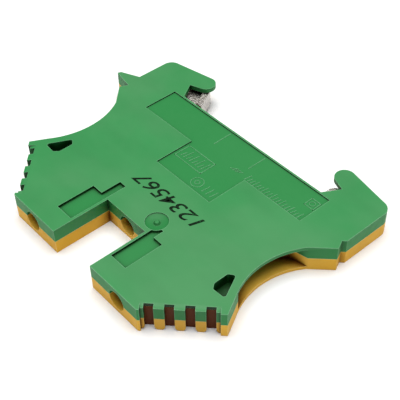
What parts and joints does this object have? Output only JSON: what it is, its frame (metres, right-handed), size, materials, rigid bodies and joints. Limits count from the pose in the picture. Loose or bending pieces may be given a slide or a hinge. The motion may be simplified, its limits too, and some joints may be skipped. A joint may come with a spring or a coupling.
{
  "type": "rail-mounted earth terminal block",
  "caption": "Slim green and yellow two-shell terminal block whose screw clamps join an earth wire on each side to a steel clamp that grips a 35 mm mounting rail.",
  "frame": {"origin": "middle of the block's length and height, on its yellow face", "axes": "+X along the block's length (along the wire), +Y towards the mounting rail, +Z through the block's thickness from the yellow face to the green face"},
  "size_m": [0.06, 0.0458, 0.0051],
  "materials": {
    "green_plastic": "fine satin moulding, slightly glossy",
    "yellow_plastic": "fine satin moulding",
    "tinned_copper": "tinned, semi-bright, over copper alloy",
    "zinc_steel": "zinc plated, semi-bright",
    "screw_steel": "zinc plated, machined",
    "clamp_steel": "plated strip with a rougher sheared edge"
  },
  "bodies": {
    "housing": {"housing_green": "green_plastic", "housing_yellow": "yellow_plastic", "current_bar": "tinned_copper", "contact_plate": "tinned_copper"},
    "clamp_screw_left": {"clamp_screw_left": "screw_steel"},
    "clamp_screw_right": {"clamp_screw_right": "screw_steel"},
    "clamp_yoke_left": {"clamp_yoke_left": "zinc_steel"},
    "clamp_yoke_right": {"clamp_yoke_right": "zinc_steel"},
    "mounting_screw": {"mounting_screw": "screw_steel"},
    "rail_clamp": {"rail_clamp": "clamp_steel", "clamp_nut": "zinc_steel"}
  },
  "joints": [
    {"name": "clamp_yoke_left_slide", "type": "slide", "parent": "housing", "child": "clamp_yoke_left", "axis": [0, -1, 0], "range_m": [0, 0.00214]},
    {"name": "clamp_screw_left_turn", "type": "hinge", "parent": "housing", "child": "clamp_screw_left", "pos_m": [-0.0095, -0.01081, 0.00255], "axis": [0, 1, 0], "range_deg": [0, 1710]},
    {"name": "clamp_yoke_right_slide", "type": "slide", "parent": "housing", "child": "clamp_yoke_right", "axis": [0, -1, 0], "range_m": [0, 0.00214]},
    {"name": "clamp_screw_right_turn", "type": "hinge", "parent": "housing", "child": "clamp_screw_right", "pos_m": [0.0133, -0.01081, 0.00255], "axis": [0, 1, 0], "range_deg": [0, 1710]},
    {"name": "rail_clamp_slide", "type": "slide", "parent": "housing", "child": "rail_clamp", "axis": [0, -1, 0], "range_m": [-0.0005625, 0]},
    {"name": "mounting_screw_turn", "type": "hinge", "parent": "housing", "child": "mounting_screw", "pos_m": [0.0019, -0.00592, 0.00255], "axis": [0, 1, 0], "range_deg": [-450, 0]}
  ],
  "couplings": [
    {"joint": "clamp_screw_left_turn", "follows": "clamp_yoke_left_slide", "rad_per_m": 13963},
    {"joint": "clamp_screw_right_turn", "follows": "clamp_yoke_right_slide", "rad_per_m": 13963},
    {"joint": "mounting_screw_turn", "follows": "rail_clamp_slide", "rad_per_m": 13963}
  ]
}
